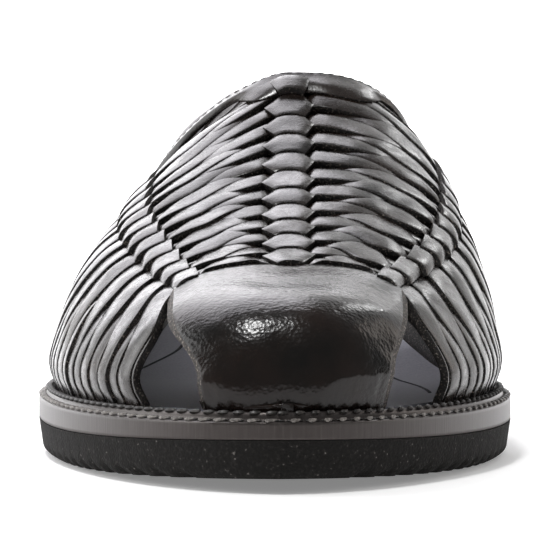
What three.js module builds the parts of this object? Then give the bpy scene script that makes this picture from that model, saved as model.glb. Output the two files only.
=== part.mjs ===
// Woven leather loafer for the right foot, standing empty on its sole.
// Millimetres, +Z up, toe towards -Y, inner side of the foot towards +X.
// Places along the shoe are given as `back`, the distance behind the tip of the sole.

import * as THREE from 'three';

// Driving dimensions of the shoe
const LENGTH = 298;
const TOE_SPRING = 3.2;
const SPRING_END = 85;
const HEEL_RISE = 10;
const RISE_START = 120;
const RISE_END = 206;
const HEEL_BREAST = 212;

// Layers of the bottom, from the floor up, and the gap left between curved pieces
const OUTSOLE = 8.4;
const MIDSOLE = 3;
const WELT = 2;
const GAP = 0.3;
const INSOLE = 3;
const WELT_TOP = OUTSOLE + MIDSOLE + WELT + 2 * GAP;
const TOE_TRIM = 1.4;

// Tread: cross ripples under the sole, and the taper of the sole's side
const RIPPLE_PITCH = 6;
const RIPPLE_DEPTH = 1.1;
const RIPPLE_FLAT = 0.45;
const RIPPLE_START = 8;
const SIDE_TAPER = 1.2;

// Upper: ledge of the welt, feather edge, tuck at the foot, wall and strip relief
const LEDGE = 2.6;
const FEATHER = 16;
const TUCK = 2.6;
const TUCK_HEIGHT = 8;
const WALL = 3.4;
const STRIP_STEP = 1.2;
const LINK_STEP = 0.7;
const BACK_LEAN = 6;
const LEAN_HEIGHT = 60;
const COLLAR_WIDTH = 8;
const COLLAR_MARGIN = 1;
const THROAT_SHARE = 0.55;
const THROAT_END = 170;
const OVERLAY = 1.5;
const OVERLAY_GAP = 0.5;
const STRAP = 2;
const STRAP_GAP = 0.9;

// Outline of the sole: half widths to the outer and inner side of the vamp's middle line
const TOE_ROUND = { lateral: { reach: 105, power: 1.8 }, medial: { reach: 97, power: 1.65 } };
const HEEL_ROUND = { reach: 42, power: 2.2 };
const TIP = { offset: -2, fades: 90 };
const SOLE_ROWS = [
  { back: 105, lateral: 59.4, medial: 52.6 },
  { back: 120, lateral: 58.6, medial: 50.6 },
  { back: 150, lateral: 53, medial: 43 },
  { back: 180, lateral: 46, medial: 36.5 },
  { back: 210, lateral: 40.5, medial: 35 },
  { back: 240, lateral: 37.5, medial: 36 },
  { back: 258, lateral: 36.5, medial: 36.5 },
];

// Sections of the last: height of the ridge, and how square each side is.
// Behind the throat the ridge is the cone of the last, which the collar cuts off.
const LAST_ROWS = [
  { back: 5, ridge: 19, lateral: 2.6, medial: 2.6 },
  { back: 7, ridge: 26.5, lateral: 2.6, medial: 2.6 },
  { back: 11, ridge: 34, lateral: 2.6, medial: 2.6 },
  { back: 17, ridge: 39.2, lateral: 2.6, medial: 2.6 },
  { back: 27, ridge: 42.6, lateral: 2.6, medial: 2.6 },
  { back: 40, ridge: 44.7, lateral: 2.5, medial: 2.55 },
  { back: 60, ridge: 48.7, lateral: 2.5, medial: 2.55 },
  { back: 75, ridge: 53.7, lateral: 2.4, medial: 2.6 },
  { back: 95, ridge: 61.7, lateral: 2.25, medial: 2.7 },
  { back: 115, ridge: 71, lateral: 2.05, medial: 2.9 },
  { back: 135, ridge: 81.5, lateral: 1.8, medial: 3.1 },
  { back: 146, ridge: 89, lateral: 1.4, medial: 2.5 },
  { back: 165, ridge: 103, lateral: 1.4, medial: 2.1 },
  { back: 190, ridge: 122, lateral: 1.9, medial: 2.2 },
  { back: 225, ridge: 138, lateral: 2.3, medial: 2.3 },
  { back: 298, ridge: 140, lateral: 2.3, medial: 2.3 },
];

// Height of the collar's edge from the throat to the back of the heel
const COLLAR_ROWS = [
  { back: 146, lateral: 89, medial: 89 },
  { back: 150, lateral: 83.5, medial: 84.5 },
  { back: 157, lateral: 73, medial: 80 },
  { back: 168, lateral: 64, medial: 72 },
  { back: 182, lateral: 60, medial: 65 },
  { back: 205, lateral: 56, medial: 61 },
  { back: 235, lateral: 58, medial: 64 },
  { back: 262, lateral: 66, medial: 74 },
  { back: 276, lateral: 72, medial: 80 },
  { back: 286, lateral: 77.5, medial: 83 },
  { back: 295, lateral: 83.5, medial: 83.5 },
  { back: 298, lateral: 83.5, medial: 83.5 },
];

// Run of each strip of the weave, by its number from the toe: where it crosses the vamp's
// middle, where it crosses the side column of links and how far round that is, its foot,
// and how far it bends to the toe on the way down to the foot.
const STRIP_ROWS = [
  { strip: -1, middle: 49.5, lateralSide: 46.6, lateralRound: 0.273, lateralFoot: 22,
    medialSide: 48.6, medialRound: 0.301, medialFoot: 37, lateralBend: 11.5, medialBend: 7 },
  { strip: 0, middle: 57.5, lateralSide: 53.6, lateralRound: 0.288, lateralFoot: 32,
    medialSide: 56.8, medialRound: 0.327, medialFoot: 49.5, lateralBend: 8.5, medialBend: 7 },
  { strip: 2, middle: 74, lateralSide: 68.5, lateralRound: 0.325, lateralFoot: 54,
    medialSide: 75.5, medialRound: 0.403, medialFoot: 73, lateralBend: 5, medialBend: 6.5 },
  { strip: 5, middle: 98.5, lateralSide: 90.3, lateralRound: 0.39, lateralFoot: 90,
    medialSide: 100.5, medialRound: 0.485, medialFoot: 103, lateralBend: 1.5, medialBend: 5 },
  { strip: 8, middle: 124, lateralSide: 111.2, lateralRound: 0.444, lateralFoot: 129,
    medialSide: 120.5, medialRound: 0.535, medialFoot: 134, lateralBend: 0, medialBend: 3 },
  { strip: 10, middle: 140.5, lateralSide: 126, lateralRound: 0.468, lateralFoot: 156,
    medialSide: 138, medialRound: 0.58, medialFoot: 157, lateralBend: 0, medialBend: 2 },
  { strip: 13, middle: 165, lateralSide: 160, lateralRound: 0.53, lateralFoot: 197,
    medialSide: 166, medialRound: 0.6, medialFoot: 194, lateralBend: 0, medialBend: 0 },
  { strip: 16, middle: 215, lateralSide: 220, lateralRound: 0.53, lateralFoot: 237,
    medialSide: 220, medialRound: 0.56, medialFoot: 236, lateralBend: 0, medialBend: 0 },
  { strip: 18, middle: 256, lateralSide: 262, lateralRound: 0.5, lateralFoot: 268,
    medialSide: 262, medialRound: 0.5, medialFoot: 268, lateralBend: 0, medialBend: 0 },
  { strip: 20, middle: LENGTH - LEDGE, lateralSide: LENGTH - LEDGE, lateralRound: 0.5,
    lateralFoot: LENGTH - LEDGE, medialSide: LENGTH - LEDGE, medialRound: 0.5,
    medialFoot: LENGTH - LEDGE, lateralBend: 0, medialBend: 0 },
];
const STRIPS = 14;
const STRIP_SHIFT = -0.25;
const STRIP_HALF = 0.34;
const STEP_RUN = 0.05;
const LINK_HALF = 0.085;
const LINKS_END = 9.4;
const COUNTER_FROM = 13.35;
const GROUND_SINKS = { from: 12.2, to: 12.8 };
const COLLAR_SINKS = { from: 158, to: 172 };
const HEEL_END = 20;

// Toe strap: half width at the welt and where its sides meet the first strip
const STRAP_FOOT = { lateral: 20.5, medial: 23.5 };
const STRAP_TOP = { lateral: 27.5, medial: 27 };
const STRAP_FLARE_START = 24;
const STRAP_FLARE_END = 40;

// Fineness: points nearer than WELD are one, and a search halves its range this often
const WELD = 0.002;
const HALVINGS = 40;

const SIDES = { lateral: -1, medial: 1 };
const clamp = THREE.MathUtils.clamp;
const smoothstep = THREE.MathUtils.smoothstep;

// Smooth curve without overshoot through one named column of a table
function column(rows, at, name) {
  const x = rows.map((row) => row[at]);
  const y = rows.map((row) => row[name]);
  const last = x.length - 1;
  const step = (i) => x[i + 1] - x[i];
  const slope = (i) => (y[i + 1] - y[i]) / step(i);
  const tangent = x.map((_, i) => {
    if (i === 0) return slope(0);
    if (i === last) return slope(last - 1);
    const before = slope(i - 1);
    const after = slope(i);
    if (before * after <= 0) return 0;
    const early = 2 * step(i) + step(i - 1);
    const late = step(i) + 2 * step(i - 1);
    return (early + late) / (early / before + late / after);
  });
  return (value) => {
    const v = clamp(value, x[0], x[last]);
    let i = 0;
    while (i < last - 1 && v > x[i + 1]) i += 1;
    const h = step(i);
    const t = (v - x[i]) / h;
    const near = y[i] * (1 + 2 * t) + tangent[i] * h * t;
    const far = y[i + 1] * (3 - 2 * t) + tangent[i + 1] * h * (t - 1);
    return near * (1 - t) ** 2 + far * t * t;
  };
}

// Value between two limits at which `past` turns true
function turning(low, high, past) {
  let near = low;
  let far = high;
  for (let i = 0; i < HALVINGS; i += 1) {
    const middle = (near + far) / 2;
    if (past(middle)) far = middle;
    else near = middle;
  }
  return far;
}

const columns = (rows, at, names) => Object.fromEntries(names.map((n) => [n, column(rows, at, n)]));
const soleWidth = columns(SOLE_ROWS, 'back', ['lateral', 'medial']);
const last = columns(LAST_ROWS, 'back', ['ridge', 'lateral', 'medial']);
const collarHeight = columns(COLLAR_ROWS, 'back', ['lateral', 'medial']);
const strip = columns(STRIP_ROWS, 'strip', ['middle', 'lateralSide', 'lateralRound', 'lateralFoot',
  'medialSide', 'medialRound', 'medialFoot', 'lateralBend', 'medialBend']);

const rounded = (t, power) => (1 - (1 - clamp(t, 0, 1)) ** power) ** (1 / power);
const spring = (back) => clamp(1 - back / SPRING_END, 0, 1) ** 2;
const rise = (back) => HEEL_RISE * smoothstep(back, RISE_START, RISE_END);
const floorLine = (back) => TOE_SPRING * spring(back) + rise(back);
const topLine = (back) => floorLine(back) - TOE_TRIM * spring(back);
const tipShift = (back) => TIP.offset * clamp(1 - back / TIP.fades, 0, 1) ** 2;

// Half width of the sole's outline, drawn in by `inset`
function halfWidth(back, side, inset) {
  const toe = TOE_ROUND[side];
  const front = rounded((back - inset) / (toe.reach - inset), toe.power);
  const rear = rounded((LENGTH - inset - back) / (HEEL_ROUND.reach - inset), HEEL_ROUND.power);
  return (soleWidth[side](back) - inset) * front * rear;
}

// Direction from the feather edge towards the inside: x to the middle, y along the shoe
function outlineInward(back, side) {
  const run = 0.4;
  const ahead = halfWidth(back + run, side, LEDGE);
  const behind = halfWidth(back - run, side, LEDGE);
  return new THREE.Vector2(2 * run, ahead - behind).normalize();
}

// Point on the last's outer face: `round` goes from 0 on the ridge to 1 at the feather edge
function lastPoint(back, round, side) {
  const angle = clamp(round, 0, 1) * Math.PI / 2;
  const power = 2 / last[side](back);
  const foot = FEATHER + topLine(back);
  const tall = last.ridge(back) - foot;
  const up = tall * Math.max(Math.cos(angle), 0) ** power;
  const width = halfWidth(back, side, LEDGE);
  const tuck = TUCK * clamp(1 - up / TUCK_HEIGHT, 0, 1) ** 2;
  const inward = outlineInward(back, side);
  const out = width * Math.max(Math.sin(angle), 0) ** power - Math.min(tuck * inward.x, width / 3) * round;
  const lean = BACK_LEAN * Math.min(up / LEAN_HEIGHT, 1.2) ** 2 * smoothstep(back, RISE_END, LENGTH);
  const x = tipShift(back) * round + SIDES[side] * out;
  return new THREE.Vector3(x, back - lean + tuck * inward.y, foot + up);
}

// Outward direction on the last, across the ridge where the point lies on it
function lastNormal(back, round, side) {
  const turn = 0.012;
  const run = 0.6;
  const other = side === 'lateral' ? 'medial' : 'lateral';
  const limit = LENGTH - LEDGE - run - 0.05;
  const at = Math.min(back, limit);
  const down = lastPoint(at, Math.min(round + turn, 1), side);
  const over = round < turn ? lastPoint(at, turn - round, other) : lastPoint(at, round - turn, side);
  const along = lastPoint(at + run, round, side).sub(lastPoint(at - run, round, side));
  const normal = new THREE.Vector3().crossVectors(along, down.sub(over));
  normal.multiplyScalar(-SIDES[side]).normalize();
  if (back > limit) normal.setX(0).normalize();
  if (round < turn / 2) normal.setX(0).normalize();
  return normal;
}

function lastOffset(back, round, side, offset) {
  return lastPoint(back, round, side).addScaledVector(lastNormal(back, round, side), offset);
}

// Place of strip number `s` at `across`, 0 on the vamp's middle, 0.5 on the links, 1 at the foot
function stripPlace(s, across, side) {
  const middle = (1 - across) * (1 - 2 * across);
  const links = 4 * across * (1 - across);
  const foot = across * (2 * across - 1);
  const sideBack = strip[`${side}Side`](s);
  const sideRound = strip[`${side}Round`](s);
  const footBack = strip[`${side}Foot`](s);
  const below = clamp(2 * across - 1, 0, 1);
  const bend = strip[`${side}Bend`](s) * (4 * below * (1 - below)) ** 2;
  const back = strip.middle(s) * middle + sideBack * links + footBack * foot - bend;
  return { back, round: sideRound * links + foot };
}

// Height of the collar's edge, moved down by `drop`.
// At the throat the edge runs down the slope of the vamp, so it drops less there.
function edgeHeight(back, side, drop) {
  const throat = COLLAR_ROWS[0].back;
  const share = THROAT_SHARE + (1 - THROAT_SHARE) * smoothstep(back, throat, THROAT_END);
  return collarHeight[side](back) - drop * share;
}

// How far along a strip that edge cuts it off
function collarCut(s, side, drop = 0) {
  const below = (across) => {
    const { back, round } = stripPlace(s, across, side);
    return lastPoint(back, round, side).z <= edgeHeight(back, side, drop) + WELD;
  };
  return below(0) ? 0 : turning(0, 1, below);
}

// Where that edge lies on the last at a given distance back
function edgePlace(back, side, drop) {
  const below = (round) => lastPoint(back, round, side).z <= edgeHeight(back, side, drop) + WELD;
  return { back, round: below(0) ? 0 : turning(0, 1, below) };
}

// Closed mesh from points and faces: equal points become one, flat faces are dropped
class Shell {
  constructor() {
    this.points = [];
    this.faces = [];
    this.known = new Map();
  }

  point(p) {
    const key = [p.x, p.y, p.z].map((v) => Math.round(v / WELD)).join();
    if (!this.known.has(key)) {
      this.known.set(key, this.points.length);
      this.points.push(p);
    }
    return this.known.get(key);
  }

  face(a, b, c) {
    const ids = [a, b, c].map((p) => this.point(p));
    if (new Set(ids).size === 3) this.faces.push(ids);
  }

  quad(a, b, c, d) {
    this.face(a, b, c);
    this.face(a, c, d);
  }

  // Faces between two lines that run the same way, each of stops with a point and its place
  zip(one, two) {
    let i = 0;
    let j = 0;
    while (i < one.length - 1 || j < two.length - 1) {
      const stepOne = j === two.length - 1
        || (i < one.length - 1 && one[i + 1].place <= two[j + 1].place);
      if (stepOne) {
        this.face(one[i].point, one[i + 1].point, two[j].point);
        i += 1;
      } else {
        this.face(one[i].point, two[j + 1].point, two[j].point);
        j += 1;
      }
    }
  }

  grid(lines) {
    for (let i = 0; i < lines.length - 1; i += 1) {
      for (let j = 0; j < lines[i].length - 1; j += 1) {
        this.quad(lines[i][j], lines[i][j + 1], lines[i + 1][j + 1], lines[i + 1][j]);
      }
    }
  }

  geometry() {
    const corner = (f, i) => this.points[f[i]];
    const volume = this.faces.reduce((sum, f) => sum + corner(f, 0).dot(
      new THREE.Vector3().crossVectors(corner(f, 1), corner(f, 2))), 0);
    const index = this.faces.flatMap((f) => (volume < 0 ? [f[0], f[2], f[1]] : f));
    const geometry = new THREE.BufferGeometry();
    geometry.setAttribute('position', new THREE.Float32BufferAttribute(
      this.points.flatMap((p) => [p.x, p.y, p.z]), 3));
    geometry.setIndex(index);
    geometry.computeVertexNormals();
    return geometry;
  }
}

// Solid through closed sections, with both ends filled
function loft(sections) {
  const shell = new Shell();
  shell.grid(sections.map((ring) => [...ring, ring[0]]));
  const first = sections[0];
  const end = sections[sections.length - 1];
  for (let i = 1; i < first.length - 1; i += 1) {
    shell.face(first[0], first[i + 1], first[i]);
    shell.face(end[0], end[i], end[i + 1]);
  }
  return shell.geometry();
}

const between = (from, to, count) => Array.from({ length: count + 1 },
  (_, i) => from + (to - from) * i / count);
const eased = (t) => (1 - Math.cos(Math.PI * t)) / 2;
const sideX = (back, side, inset) => tipShift(back) + SIDES[side] * halfWidth(back, side, inset);

// Outsole: full length, rippled across underneath, with toe spring, arch and heel seat
function outsole() {
  const places = between(0, 1, 6).map((t) => ({ back: RIPPLE_START * t * t, notch: 0 }));
  for (let back = RIPPLE_START + RIPPLE_PITCH; back < RISE_END; back += RIPPLE_PITCH) {
    const flat = RIPPLE_PITCH * RIPPLE_FLAT;
    places.push({ back: back - (RIPPLE_PITCH - flat) / 2, notch: RIPPLE_DEPTH });
    places.push({ back, notch: 0 });
    places.push({ back: back + flat, notch: 0 });
  }
  const seatFrom = RISE_END + RIPPLE_PITCH;
  between(0, 1, 14).forEach((t) => {
    places.push({ back: seatFrom + (LENGTH - seatFrom) * Math.sin(t * Math.PI / 2), notch: 0 });
  });
  return loft(places.map(({ back, notch }) => {
    const top = floorLine(back) + OUTSOLE;
    const under = floorLine(back) + notch;
    const corner = (side, inset, z) => new THREE.Vector3(sideX(back, side, inset), back, z);
    const drawnIn = Math.min(SIDE_TAPER, halfWidth(back, 'medial', 0));
    const bottom = (side) => {
      const x = sideX(back, side, 0) - SIDES[side] * drawnIn;
      return new THREE.Vector3(x, back, under);
    };
    return [corner('lateral', 0, top), corner('medial', 0, top), bottom('medial'), bottom('lateral')];
  }));
}

// Heel lift: one block with a flat foot, from the breast to the back
function heel() {
  const places = between(0, 1, 18).map((t) => HEEL_BREAST
    + (LENGTH - HEEL_BREAST) * Math.sin(t * Math.PI / 2));
  return loft(places.map((back) => {
    const corner = (side, drawnIn, z) => new THREE.Vector3(
      sideX(back, side, 0) - SIDES[side] * Math.min(drawnIn, halfWidth(back, side, 0)), back, z);
    const top = HEEL_RISE - GAP;
    return [corner('lateral', SIDE_TAPER, top), corner('medial', SIDE_TAPER, top),
      corner('medial', 2 * SIDE_TAPER, 0), corner('lateral', 2 * SIDE_TAPER, 0)];
  }));
}

// Flat layer of the bottom between two heights, drawn in from the sole's outline by `inset`
function layer(inset, low, high, count) {
  const places = between(0, 1, count).map((t) => inset + (LENGTH - 2 * inset) * eased(t));
  return loft(places.map((back) => {
    const corner = (side, z) => new THREE.Vector3(sideX(back, side, inset), back, z(back));
    return [corner('lateral', high), corner('medial', high), corner('medial', low),
      corner('lateral', low)];
  }));
}

const midsoleLow = (back) => floorLine(back) + OUTSOLE + GAP;
const midsoleHigh = (back) => topLine(back) + OUTSOLE + GAP + MIDSOLE;
const weltLow = (back) => midsoleHigh(back) + GAP;
const weltHigh = (back) => topLine(back) + WELT_TOP;

// Welt: a ring round the foot, its top sloping up to a round bead beside the upper
const WELT_PROFILE = [
  { inset: 0, lift: 0 },
  { inset: 1.9, lift: 0.9 },
  { inset: 2.3, lift: 2 },
  { inset: 3.1, lift: 2.7 },
  { inset: 3.9, lift: 2 },
];

function welt() {
  const stations = between(0, 1, 46);
  const ring = (t, side) => {
    const at = (inset, height) => {
      const back = inset + (LENGTH - 2 * inset) * eased(t);
      return new THREE.Vector3(sideX(back, side, inset), back, height(back));
    };
    const inner = WELT_PROFILE[WELT_PROFILE.length - 1].inset;
    const top = WELT_PROFILE.map(({ inset, lift }) => at(inset, (back) => weltHigh(back) + lift));
    return [...top, at(inner, weltLow), at(0, weltLow)];
  };
  const lateral = stations.map((t) => ring(t, 'lateral'));
  const medial = stations.map((t) => ring(t, 'medial')).reverse();
  const shell = new Shell();
  shell.grid([...lateral, ...medial].map((line) => [...line, line[0]]));
  return shell.geometry();
}

// Level of the woven face over the wall's ground: strips raised, links raised further,
// and flat under the collar down to where the counter begins
function relief(s, across, collarFoot) {
  if (across <= collarFoot && collarFoot > 0) {
    return STRIP_STEP * (1 - smoothstep(s, GROUND_SINKS.from, GROUND_SINKS.to));
  }
  if (s > COUNTER_FROM) return 0;
  const place = s - STRIP_SHIFT;
  const away = Math.abs(place - Math.round(place));
  const onStrip = 1 - smoothstep(away, STRIP_HALF - STEP_RUN, STRIP_HALF);
  const column = Math.min(across, Math.abs(across - 0.5));
  const onLink = s < LINKS_END && column < LINK_HALF ? 1 : 0;
  return onStrip * (STRIP_STEP + LINK_STEP * onLink);
}

// Strip numbers at which the wall has a line of points: the edges and middle of each strip,
// then the plain wall behind them
const REAR_LINES = between(0, 1, 14).map((t) => COUNTER_FROM + (HEEL_END - COUNTER_FROM) * eased(t));

function wovenLines() {
  const offsets = [-STRIP_HALF, -STRIP_HALF + STEP_RUN, 0, STRIP_HALF - STEP_RUN, STRIP_HALF];
  const lines = Array.from({ length: STRIPS }, (_, k) => offsets.map((o) => k + STRIP_SHIFT + o));
  return {
    fine: [...lines.flat(), ...REAR_LINES],
    coarse: [lines[0][0], ...lines.slice(1).map((l) => l[2]), ...REAR_LINES],
  };
}

// Places across half of the wall where it has points, from the vamp's middle to the foot
const ACROSS = [0, 0.05, 0.09, 0.17, 0.27, 0.41, 0.46, 0.54, 0.59, 0.7, 0.8, 0.9, 1];
const COARSE_ACROSS = [0, 0.09, 0.22, 0.36, 0.5, 0.65, 0.82, 1];
const UNDER_COLLAR = 3;
const COLLAR_RUN = 0.012;

// The same places where the collar crosses the strip: three under it, the rest below its foot
function placesAcross(cut, collarFoot) {
  if (collarFoot <= 0) return ACROSS;
  const head = between(cut, collarFoot, UNDER_COLLAR - 1);
  const from = collarFoot + COLLAR_RUN;
  const first = ACROSS[UNDER_COLLAR];
  const tail = ACROSS.slice(UNDER_COLLAR);
  return [...head, ...tail.map((t) => from + (1 - from) * (t - first) / (1 - first))];
}

// Upper: one woven wall from the first strip to the heel, open at collar, toe and underneath
function upper() {
  const shell = new Shell();
  const { fine, coarse } = wovenLines();
  const line = (s, side, places, point) => {
    const stops = places.map((across) => {
      const { back, round } = stripPlace(s, across, side);
      return { place: across, point: point(back, round, across) };
    });
    const foot = stops[stops.length - 1].point.clone();
    foot.z = weltLow(foot.y);
    return { place: s, stops: [...stops, { place: 2, point: foot }] };
  };
  const outerLine = (s, side) => {
    const cut = collarCut(s, side);
    const collarFoot = collarCut(s, side, COLLAR_WIDTH + COLLAR_MARGIN);
    const point = (back, round, across) => lastOffset(back, round, side,
      relief(s, across, collarFoot) - STRIP_STEP);
    return { ...line(s, side, placesAcross(cut, collarFoot), point), atCollar: cut > 0 };
  };
  const innerLine = (s, side) => {
    const cut = collarCut(s, side);
    const places = COARSE_ACROSS.map((t) => cut + (1 - cut) * t);
    const point = (back, round) => lastOffset(back, round, side, -WALL);
    return { ...line(s, side, places, point), atCollar: cut > 0 };
  };
  Object.keys(SIDES).forEach((side) => {
    const outer = fine.map((s) => outerLine(s, side));
    const inner = coarse.map((s) => innerLine(s, side));
    const outward = side === 'lateral';
    const face = (lines, turned) => {
      const points = lines.map((l) => l.stops.map((stop) => stop.point));
      shell.grid(turned ? points.reverse() : points);
    };
    const zip = (one, two) => (outward ? shell.zip(one, two) : shell.zip(two, one));
    const edge = (lines, pick) => lines.map((l) => ({ place: l.place, point: pick(l.stops).point }));
    const atCollar = (lines) => lines.filter((l, i) => l.atCollar || lines[i + 1]?.atCollar);
    const top = (stops) => stops[0];
    const foot = (stops) => stops[stops.length - 1];
    face(outer, !outward);
    face(inner, outward);
    zip(edge(atCollar(outer), top), edge(atCollar(inner), top));
    zip(edge(inner, foot), edge(outer, foot));
    zip(inner[0].stops, outer[0].stops);
  });
  return shell.geometry();
}

// Sheet on the last between two levels, from rows of places that start at the sole where `seated`
function sheet(places, low, high, seated) {
  const shell = new Shell();
  const cover = (row, level) => {
    const points = row.map((p) => lastOffset(p.back, p.round, p.side, level));
    if (!seated) return points;
    const foot = points[0].clone();
    foot.z = weltLow(foot.y);
    return [foot, ...points];
  };
  const top = places.map((row) => cover(row, high));
  const under = places.map((row) => cover(row, low));
  shell.grid(top);
  shell.grid(under.map((row) => [...row].reverse()));
  const edge = (grid) => [...grid[0], ...grid.slice(1).map((row) => row[row.length - 1]),
    ...[...grid[grid.length - 1]].reverse().slice(1),
    ...grid.slice(1, -1).map((row) => row[0]).reverse(), grid[0][0]];
  const rimTop = edge(top);
  const rimUnder = edge(under);
  for (let i = 0; i < rimTop.length - 1; i += 1) {
    shell.quad(rimTop[i + 1], rimTop[i], rimUnder[i], rimUnder[i + 1]);
  }
  return shell.geometry();
}

// Place on the last that lies `x` to one side at a given distance back
function placeAt(x, back, side) {
  const width = halfWidth(back, side, LEDGE);
  const out = Math.abs(x - tipShift(back));
  const share = clamp(out / Math.max(width, 1e-6), 0, 1);
  return { back, round: 2 / Math.PI * Math.asin(share ** (last[side](back) / 2)), side };
}

// Toe strap: a shield from the welt over the toes to the first strip, open on both sides
function toeStrap() {
  const firstEdge = STRIP_SHIFT - STRIP_HALF;
  const topEdge = (x, side) => {
    const reached = (across) => {
      const { back, round } = stripPlace(firstEdge, across, side);
      return Math.abs(lastPoint(back, round, side).x) >= Math.abs(x);
    };
    return stripPlace(firstEdge, turning(0, 1, reached), side).back - STRAP_GAP;
  };
  const footOf = (x, side) => turning(LEDGE, SPRING_END,
    (back) => halfWidth(back, side, LEDGE) >= Math.abs(x - tipShift(back)));
  const rows = between(0, 1, 12);
  const columnsAcross = between(-1, 1, 14);
  const places = columnsAcross.map((t) => {
    const side = t < 0 ? 'lateral' : 'medial';
    const flare = (z) => STRAP_FOOT[side] + (STRAP_TOP[side] - STRAP_FOOT[side])
      * smoothstep(z, STRAP_FLARE_START, STRAP_FLARE_END);
    const footX = t * STRAP_FOOT[side];
    const foot = footOf(footX, side);
    const top = topEdge(t * STRAP_TOP[side], side);
    return rows.map((r) => {
      const back = foot + (top - foot) * r * r;
      const rough = placeAt(t * STRAP_FOOT[side], back, side);
      const z = lastPoint(rough.back, rough.round, side).z;
      return placeAt(t * flare(z), back, side);
    });
  });
  return sheet(places, -STRAP, 0, true);
}

// Collar: a smooth closed band along the edge of the opening, over the strips' ends
function collar() {
  const drops = between(0, COLLAR_WIDTH, 2);
  const throats = drops.map((drop) => turning(0, LENGTH / 2,
    (back) => last.ridge(back) >= edgeHeight(back, 'lateral', drop)));
  const section = (t, side) => {
    const line = drops.map((drop, i) => {
      const back = throats[i] + (LENGTH - LEDGE - throats[i]) * eased(t);
      return edgePlace(back, side, drop);
    });
    const at = ({ back, round }, thick) => lastOffset(back, round, side, OVERLAY_GAP + thick
      - STRIP_STEP * smoothstep(back, COLLAR_SINKS.from, COLLAR_SINKS.to));
    return [...line.map((place) => at(place, OVERLAY)), ...line.reverse().map((place) => at(place, 0))];
  };
  const stations = between(0, 1, 34);
  const lines = stations.map((t) => section(t, 'lateral'));
  [...stations].reverse().forEach((t) => lines.push(section(t, 'medial')));
  const shell = new Shell();
  shell.grid(lines.map((line) => [...line, line[0]]));
  return shell.geometry();
}

// Counter: a smooth overlay round the heel, from the welt up to the collar
function counter() {
  const row = (s, side) => {
    const collarFoot = collarCut(s, side, COLLAR_WIDTH + COLLAR_MARGIN);
    const places = placesAcross(0, collarFoot).slice(UNDER_COLLAR);
    return places.map((across) => ({ ...stripPlace(s, across, side), side }));
  };
  const lines = REAR_LINES.map((s) => row(s, 'lateral'));
  [...REAR_LINES].reverse().forEach((s) => lines.push(row(s, 'medial')));
  const low = OVERLAY_GAP - STRIP_STEP;
  return sheet(lines, low, low + OVERLAY, false);
}

// Insole: the grey sock inside the wall
const INSOLE_INSET = LEDGE + TUCK + WALL + 1.2;
const insole = () => layer(INSOLE_INSET, weltLow, (back) => weltLow(back) + INSOLE, 40);

const LEATHER = { color: 0x17150f, roughness: 0.32, metalness: 0 };
const PIECES = [
  { name: 'outsole', make: outsole, color: 0x1a1918, roughness: 0.9, metalness: 0 },
  { name: 'heel', make: heel, color: 0x1a1918, roughness: 0.9, metalness: 0 },
  { name: 'midsole', make: () => layer(0, midsoleLow, midsoleHigh, 44), color: 0x4a4744,
    roughness: 0.5, metalness: 0 },
  { name: 'welt', make: welt, color: 0x3a3735, roughness: 0.5, metalness: 0 },
  { name: 'insole', make: insole, color: 0x5c5c64, roughness: 0.8, metalness: 0 },
  { name: 'upper', make: upper, ...LEATHER },
  { name: 'toe_strap', make: toeStrap, ...LEATHER },
  { name: 'collar', make: collar, ...LEATHER },
  { name: 'counter', make: counter, ...LEATHER },
];

// The shoe is centred on its own outline
const widest = SOLE_ROWS[0];
const shoe = new THREE.Group();
shoe.position.set((widest.lateral - widest.medial) / 2, -LENGTH / 2, 0);
PIECES.forEach(({ name, make, ...finish }) => {
  const mesh = new THREE.Mesh(make(), new THREE.MeshStandardMaterial(finish));
  mesh.name = name;
  shoe.add(mesh);
});

const part = new THREE.Group();
part.add(shoe);
export default part;
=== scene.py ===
"""Woven leather loafer for the right foot: looks and fine shapes, in metres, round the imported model."""

import math

import bpy
import numpy as np
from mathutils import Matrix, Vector


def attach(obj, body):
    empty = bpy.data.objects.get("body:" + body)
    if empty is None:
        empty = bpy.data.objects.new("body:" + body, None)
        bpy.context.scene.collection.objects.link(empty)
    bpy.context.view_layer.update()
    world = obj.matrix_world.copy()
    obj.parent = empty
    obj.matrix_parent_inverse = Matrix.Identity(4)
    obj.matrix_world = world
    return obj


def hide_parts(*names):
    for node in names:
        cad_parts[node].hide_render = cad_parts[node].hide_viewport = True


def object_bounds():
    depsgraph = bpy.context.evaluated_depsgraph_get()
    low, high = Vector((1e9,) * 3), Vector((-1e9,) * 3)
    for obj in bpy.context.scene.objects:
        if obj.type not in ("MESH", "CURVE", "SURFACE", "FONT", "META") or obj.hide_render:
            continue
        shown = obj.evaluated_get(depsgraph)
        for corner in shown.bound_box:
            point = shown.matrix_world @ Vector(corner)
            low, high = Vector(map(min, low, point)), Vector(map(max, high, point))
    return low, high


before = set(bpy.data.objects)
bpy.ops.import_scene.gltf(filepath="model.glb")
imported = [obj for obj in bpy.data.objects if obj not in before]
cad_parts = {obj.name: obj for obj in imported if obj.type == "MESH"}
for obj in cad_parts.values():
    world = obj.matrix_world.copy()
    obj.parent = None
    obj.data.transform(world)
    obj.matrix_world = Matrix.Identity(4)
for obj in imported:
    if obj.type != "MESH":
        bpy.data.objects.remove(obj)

cad_low, cad_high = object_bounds()

MM = 0.001
RNG = np.random.default_rng(11)

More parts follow.
